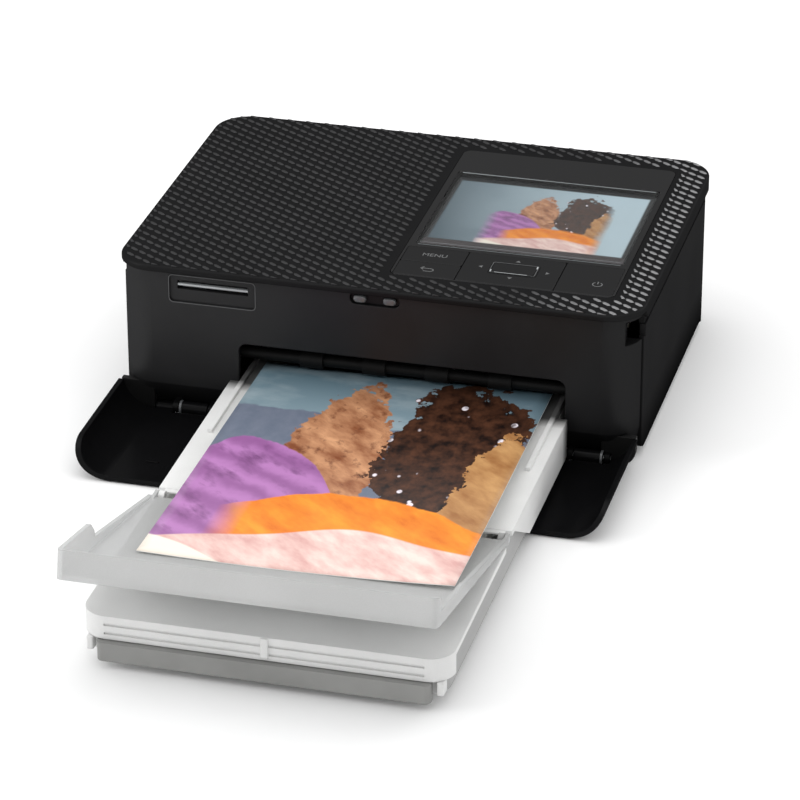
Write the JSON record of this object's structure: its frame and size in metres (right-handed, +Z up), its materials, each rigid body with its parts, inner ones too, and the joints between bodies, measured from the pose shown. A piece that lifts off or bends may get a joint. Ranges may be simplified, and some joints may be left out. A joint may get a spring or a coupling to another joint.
{
  "type": "compact photo printer",
  "caption": "Compact photo printer with a textured top, gloss control panel with display, fold-down front flap, side ribbon door and a paper cassette whose raised cover is the output tray.",
  "frame": {"origin": "bottom centre of the whole model's box, on the surface that the feet stand on", "axes": "+X to the right seen from the front, +Y from the cassette towards the printer's back, +Z up"},
  "size_m": [0.1822, 0.3114, 0.0579],
  "materials": {
    "lower_case": "fine satin moulded",
    "top_shell": "satin, with small raised lozenges",
    "panel_gloss": "gloss",
    "display_glass": "clear window",
    "display": null,
    "key_gloss": null,
    "circuit_board": "solder resist",
    "rubber": "matt",
    "steel": "plain",
    "dark_plastic": "matt moulded",
    "gear_plastic": "acetal",
    "brass": "turned",
    "film": "thin film",
    "aluminium": "extruded",
    "ceramic": "glazed",
    "cassette_clear": "slightly translucent smoke",
    "strip_grey": "satin",
    "blank_paper": "coated",
    "print": null
  },
  "bodies": {
    "printer": {"base_cover": "lower_case", "front_fascia": "lower_case", "top_cover": "top_shell", "left_side_panel": "lower_case", "back_cover": "lower_case", "rubber_feet": "rubber", "case_screws": "steel", "control_panel": "panel_gloss", "lcd_glass": "display_glass", "lcd_module": "display", "key_board": "circuit_board", "catch_plate": "dark_plastic", "flap_hinge_pins": "steel", "door_hinge_pin": "steel", "chassis": "steel", "paper_guide": "steel", "feed_motor": "steel", "ribbon_cartridge": "dark_plastic", "ribbon_film": "film", "main_board": "circuit_board", "dc_socket": "dark_plastic", "usb_socket": "steel", "card_socket": "steel", "fan_housing": "dark_plastic"},
    "flap": {"front_flap": "lower_case"},
    "door": {"ribbon_door": "lower_case"},
    "menu_key": {"menu_key": "key_gloss"},
    "back_key": {"back_key": "key_gloss"},
    "nav_pad": {"nav_pad": "key_gloss"},
    "select_key": {"select_key": "key_gloss"},
    "power_key": {"power_key": "key_gloss"},
    "platen": {"platen_roller": "rubber", "platen_gear": "gear_plastic"},
    "platen_idler": {"platen_idler_gear": "gear_plastic"},
    "capstan": {"capstan_roller": "steel", "capstan_gear": "gear_plastic"},
    "pinch": {"pinch_roller": "rubber"},
    "pick_up_idler": {"pick_up_idler_gear": "gear_plastic"},
    "pick_up": {"pick_up_roller": "rubber", "pick_up_gear": "gear_plastic"},
    "discharge": {"discharge_roller": "rubber", "discharge_gear": "gear_plastic"},
    "pinion": {"motor_pinion": "brass"},
    "take_up": {"take_up_gear": "gear_plastic", "take_up_spool": "dark_plastic"},
    "supply": {"supply_spool": "dark_plastic"},
    "head": {"head_arm": "aluminium", "thermal_head": "ceramic"},
    "fan": {"fan_rotor": "dark_plastic"},
    "lever": {"eject_lever": "gear_plastic"},
    "cassette": {"cassette_base": "cassette_clear", "cassette_lid": "cassette_clear", "cassette_front_strip": "strip_grey", "inner_cover": "cassette_clear", "outer_cover_pins": "steel", "lift_spring": "steel", "print_sheet": "print"},
    "tray": {"outer_cover": "cassette_clear"},
    "paper_lift": {"lift_plate": "steel", "paper_stack": "blank_paper"}
  },
  "joints": [
    {"name": "flap_hinge", "type": "hinge", "parent": "printer", "child": "flap", "pos_m": [0, 0.0259, 0.0035], "axis": [-1, 0, 0], "range_deg": [0, 1.5]},
    {"name": "ribbon_door_hinge", "type": "hinge", "parent": "printer", "child": "door", "pos_m": [0.0886, 0.1407, 0], "axis": [0, 0, 1], "range_deg": [0, 95]},
    {"name": "menu_key_press", "type": "slide", "parent": "printer", "child": "menu_key", "axis": [0, 0, -1], "range_m": [0, 0.0005], "stiffness_N_per_m": 300, "springref_m": -0.001},
    {"name": "back_key_press", "type": "slide", "parent": "printer", "child": "back_key", "axis": [0, 0, -1], "range_m": [0, 0.0005], "stiffness_N_per_m": 300, "springref_m": -0.001},
    {"name": "nav_pad_press", "type": "slide", "parent": "printer", "child": "nav_pad", "axis": [0, 0, -1], "range_m": [0, 0.0005], "stiffness_N_per_m": 300, "springref_m": -0.001},
    {"name": "select_key_press", "type": "slide", "parent": "printer", "child": "select_key", "axis": [0, 0, -1], "range_m": [0, 0.0005], "stiffness_N_per_m": 300, "springref_m": -0.001},
    {"name": "power_key_press", "type": "slide", "parent": "printer", "child": "power_key", "axis": [0, 0, -1], "range_m": [0, 0.0005], "stiffness_N_per_m": 300, "springref_m": -0.001},
    {"name": "cassette_slide", "type": "slide", "parent": "printer", "child": "cassette", "axis": [0, -1, 0], "range_m": [0, 0.05]},
    {"name": "outer_cover_hinge", "type": "hinge", "parent": "cassette", "child": "tray", "pos_m": [0, -0.0633, 0.018], "axis": [-1, 0, 0], "range_deg": [0, 130], "deforming": ["print_sheet"]},
    {"name": "paper_lift_hinge", "type": "hinge", "parent": "cassette", "child": "paper_lift", "pos_m": [0, -0.1113, 0.009], "axis": [-1, 0, 0], "range_deg": [0, 1], "stiffness_Nm_per_rad": 1, "springref_deg": -17.19, "deforming": ["lift_spring"]},
    {"name": "head_hinge", "type": "hinge", "parent": "printer", "child": "head", "pos_m": [0, 0.1267, 0.0464], "axis": [-1, 0, 0], "range_deg": [0, 2]},
    {"name": "eject_lever_hinge", "type": "hinge", "parent": "printer", "child": "lever", "pos_m": [0.074, 0.0533, 0.028], "axis": [1, 0, 0], "range_deg": [0, 20], "stiffness_Nm_per_rad": 0.01, "springref_deg": -17.19},
    {"name": "platen_spin", "type": "hinge", "parent": "printer", "child": "platen", "pos_m": [-0.0618, 0.0847, 0.0162], "axis": [1, 0, 0], "continuous": true},
    {"name": "platen_idler_spin", "type": "hinge", "parent": "printer", "child": "platen_idler", "pos_m": [-0.0618, 0.10384, 0.0177], "axis": [1, 0, 0], "continuous": true},
    {"name": "capstan_spin", "type": "hinge", "parent": "printer", "child": "capstan", "pos_m": [-0.0618, 0.12298, 0.0192], "axis": [1, 0, 0], "continuous": true},
    {"name": "pinch_spin", "type": "hinge", "parent": "printer", "child": "pinch", "pos_m": [-0.0618, 0.12298, 0.0264], "axis": [1, 0, 0], "continuous": true},
    {"name": "pick_up_idler_spin", "type": "hinge", "parent": "printer", "child": "pick_up_idler", "pos_m": [-0.0618, 0.06601, 0.0206], "axis": [1, 0, 0], "continuous": true},
    {"name": "pick_up_spin", "type": "hinge", "parent": "printer", "child": "pick_up", "pos_m": [-0.0618, 0.04732, 0.025], "axis": [1, 0, 0], "continuous": true},
    {"name": "discharge_spin", "type": "hinge", "parent": "printer", "child": "discharge", "pos_m": [-0.0618, 0.03295, 0.0241], "axis": [1, 0, 0], "continuous": true},
    {"name": "motor_spin", "type": "hinge", "parent": "printer", "child": "pinion", "pos_m": [-0.0618, 0.11779, 0.03263], "axis": [1, 0, 0], "continuous": true},
    {"name": "take_up_spin", "type": "hinge", "parent": "printer", "child": "take_up", "pos_m": [-0.0618, 0.1067, 0.0372], "axis": [1, 0, 0], "continuous": true},
    {"name": "supply_spin", "type": "hinge", "parent": "printer", "child": "supply", "pos_m": [-0.0618, 0.0687, 0.0372], "axis": [1, 0, 0], "continuous": true},
    {"name": "fan_spin", "type": "hinge", "parent": "printer", "child": "fan", "pos_m": [0.03, 0.1551, 0.0392], "axis": [0, 1, 0], "continuous": true}
  ],
  "couplings": [
    {"joint": "platen_idler_spin", "follows": "platen_spin", "ratio": -1},
    {"joint": "capstan_spin", "follows": "platen_spin", "ratio": 1},
    {"joint": "pinch_spin", "follows": "platen_spin", "ratio": -0.85714},
    {"joint": "pick_up_idler_spin", "follows": "platen_spin", "ratio": -1},
    {"joint": "pick_up_spin", "follows": "platen_spin", "ratio": 1},
    {"joint": "discharge_spin", "follows": "platen_spin", "ratio": -2},
    {"joint": "motor_spin", "follows": "platen_spin", "ratio": -2},
    {"joint": "take_up_spin", "follows": "platen_spin", "ratio": 1.3333},
    {"joint": "supply_spin", "follows": "platen_spin", "ratio": 0.93023}
  ]
}
